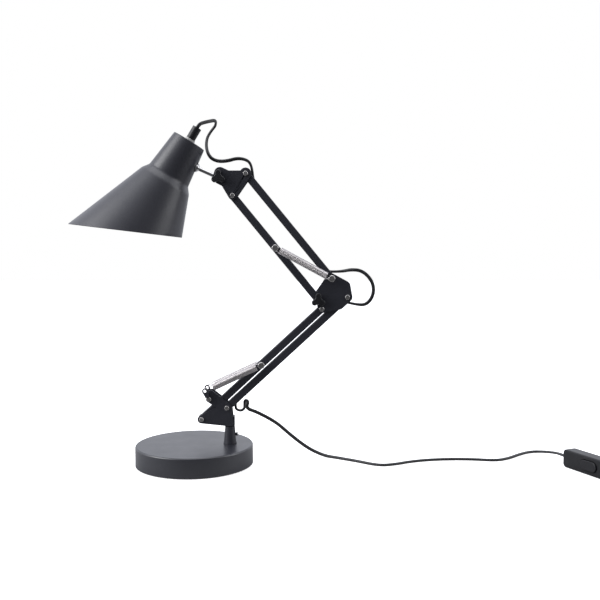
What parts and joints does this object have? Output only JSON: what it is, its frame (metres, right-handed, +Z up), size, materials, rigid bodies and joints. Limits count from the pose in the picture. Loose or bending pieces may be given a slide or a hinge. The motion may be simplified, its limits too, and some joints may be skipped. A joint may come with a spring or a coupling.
{
  "type": "balanced-arm desk lamp",
  "caption": "Spring-balanced desk lamp: round weighted base, two parallelogram arms of square tube, bell shade on a ball joint, cord with in-line switch.",
  "frame": {"origin": "middle of the round base's underside, on the table", "axes": "+Z up, +X from the shade's side towards the cord's side, the arms lie in the XZ plane, +Y towards the back"},
  "size_m": [0.7535, 0.2333, 0.4436],
  "materials": {
    "black_coat": "black powder coat, satin",
    "base_coat": "charcoal powder coat, fine texture, satin",
    "shade_coat": "charcoal powder coat outside, white inside",
    "iron": "raw casting",
    "felt": "pressed felt",
    "nickel": "nickel plated",
    "spring_steel": "bright drawn wire",
    "chrome_rod": "polished",
    "nylon": "natural nylon",
    "black_plastic": "moulded, satin",
    "cord_black": "flexible jacket, satin",
    "bulb_white": "frosted"
  },
  "bodies": {
    "base": {"base_cover": "base_coat", "base_weight": "iron", "base_pad": "felt", "base_post": "black_coat", "post_bolt": "nickel", "post_set_screw": "nickel", "mains_cord": "cord_black", "switch_lead": "cord_black", "plug_lead": "cord_black", "cord_coil": "cord_black", "cord_tie": "black_plastic", "switch_front": "black_plastic", "switch_rear": "black_plastic", "plug_body": "black_plastic", "plug_pins": "nickel"},
    "bracket": {"bracket_plate_front": "black_coat", "bracket_plate_rear": "black_coat", "swivel_block": "black_coat", "bracket_bolts": "nickel", "bracket_washers": "nylon", "spring_anchors": "black_coat", "lower_springs": "spring_steel", "exit_cord": "cord_black"},
    "lower_bar": {"lower_cord_bar": "black_coat", "lower_bar_cord": "cord_black"},
    "lower_link": {"lower_link_bar": "black_coat", "lower_spring_bolt": "nickel"},
    "elbow": {"elbow_plate_front": "black_coat", "elbow_plate_rear": "black_coat", "elbow_bolts": "nickel", "elbow_spring_bolt": "nickel", "elbow_washers": "nylon", "elbow_clamp_bolt": "nickel", "upper_springs": "spring_steel", "elbow_cord": "cord_black"},
    "elbow_knob": {"elbow_knob": "black_plastic"},
    "upper_bar": {"upper_cord_bar": "black_coat", "upper_bar_cord": "cord_black"},
    "upper_link": {"upper_link_bar": "black_coat", "upper_spring_bolt": "nickel"},
    "head": {"head_plate_front": "black_coat", "head_plate_rear": "black_coat", "head_bolts": "nickel", "head_washers": "nylon", "head_clamp_bolt": "nickel", "head_cord": "cord_black"},
    "head_knob": {"head_knob": "black_plastic"},
    "knuckle": {"head_knuckle": "black_coat"},
    "shade_rod": {"shade_rod": "chrome_rod"},
    "shade": {"shade": "shade_coat", "ball_socket": "chrome_rod", "lampholder": "black_plastic", "bulb_glass": "bulb_white", "bulb_cap": "nickel", "gland_nipple": "nickel", "gland_nut": "nylon", "cord_grip": "black_plastic", "lamp_lead": "cord_black"},
    "switch_rocker": {"switch_rocker": "black_plastic"}
  },
  "joints": [
    {"name": "base_swivel", "type": "hinge", "parent": "base", "child": "bracket", "pos_m": [0.0457, 0, 0.0483], "axis": [0, 0, 1], "range_deg": [-170, 170], "deforming": ["mains_cord"]},
    {"name": "lower_arm_tilt", "type": "hinge", "parent": "bracket", "child": "lower_bar", "pos_m": [0.04234, 0, 0.07298], "axis": [0, -1, 0], "range_deg": [-2, 65], "deforming": ["exit_cord"]},
    {"name": "lower_link", "type": "hinge", "parent": "bracket", "child": "lower_link", "pos_m": [0.01, 0, 0.0581], "axis": [0, -1, 0], "range_deg": [-2, 65], "deforming": ["lower_springs"]},
    {"name": "elbow_level", "type": "hinge", "parent": "lower_bar", "child": "elbow", "pos_m": [0.19557, 0, 0.21437], "axis": [0, -1, 0], "range_deg": [-65, 2], "deforming": ["elbow_cord"]},
    {"name": "upper_arm_tilt", "type": "hinge", "parent": "elbow", "child": "upper_bar", "pos_m": [0.17537, 0, 0.23819], "axis": [0, -1, 0], "range_deg": [-25, 60], "deforming": ["elbow_cord"]},
    {"name": "upper_link", "type": "hinge", "parent": "elbow", "child": "upper_link", "pos_m": [0.15873, 0, 0.21062], "axis": [0, -1, 0], "range_deg": [-25, 60], "deforming": ["upper_springs"]},
    {"name": "head_level", "type": "hinge", "parent": "upper_bar", "child": "head", "pos_m": [0.06746, 0, 0.36956], "axis": [0, -1, 0], "range_deg": [-60, 25], "deforming": ["head_cord"]},
    {"name": "elbow_knob_turn", "type": "hinge", "parent": "elbow", "child": "elbow_knob", "pos_m": [0.15873, -0.01, 0.21062], "axis": [0, 1, 0], "range_deg": [-180, 180]},
    {"name": "head_knob_turn", "type": "hinge", "parent": "head", "child": "head_knob", "pos_m": [0.03383, -0.01, 0.36443], "axis": [0, 1, 0], "range_deg": [-180, 180]},
    {"name": "head_tilt", "type": "hinge", "parent": "head", "child": "knuckle", "pos_m": [0.03383, 0, 0.36443], "axis": [0, -1, 0], "range_deg": [-50, 20], "deforming": ["head_cord"]},
    {"name": "shade_turn", "type": "hinge", "parent": "knuckle", "child": "shade_rod", "pos_m": [0.0056, 0, 0.377], "axis": [0.9135, 0, -0.4067], "range_deg": [-40, 40], "deforming": ["head_cord"]},
    {"name": "shade_tilt", "type": "hinge", "parent": "shade_rod", "child": "shade", "pos_m": [0.0056, 0, 0.377], "axis": [0, -1, 0], "range_deg": [-15, 15], "deforming": ["head_cord"]},
    {"name": "rocker_press", "type": "hinge", "parent": "base", "child": "switch_rocker", "pos_m": [0.49029, -0.0543, 0.0115], "axis": [0, 0, 1], "range_deg": [-7, 7]}
  ],
  "couplings": [
    {"joint": "lower_link", "follows": "lower_arm_tilt", "ratio": 1},
    {"joint": "elbow_level", "follows": "lower_arm_tilt", "ratio": -1},
    {"joint": "upper_link", "follows": "upper_arm_tilt", "ratio": 1},
    {"joint": "head_level", "follows": "upper_arm_tilt", "ratio": -1}
  ]
}
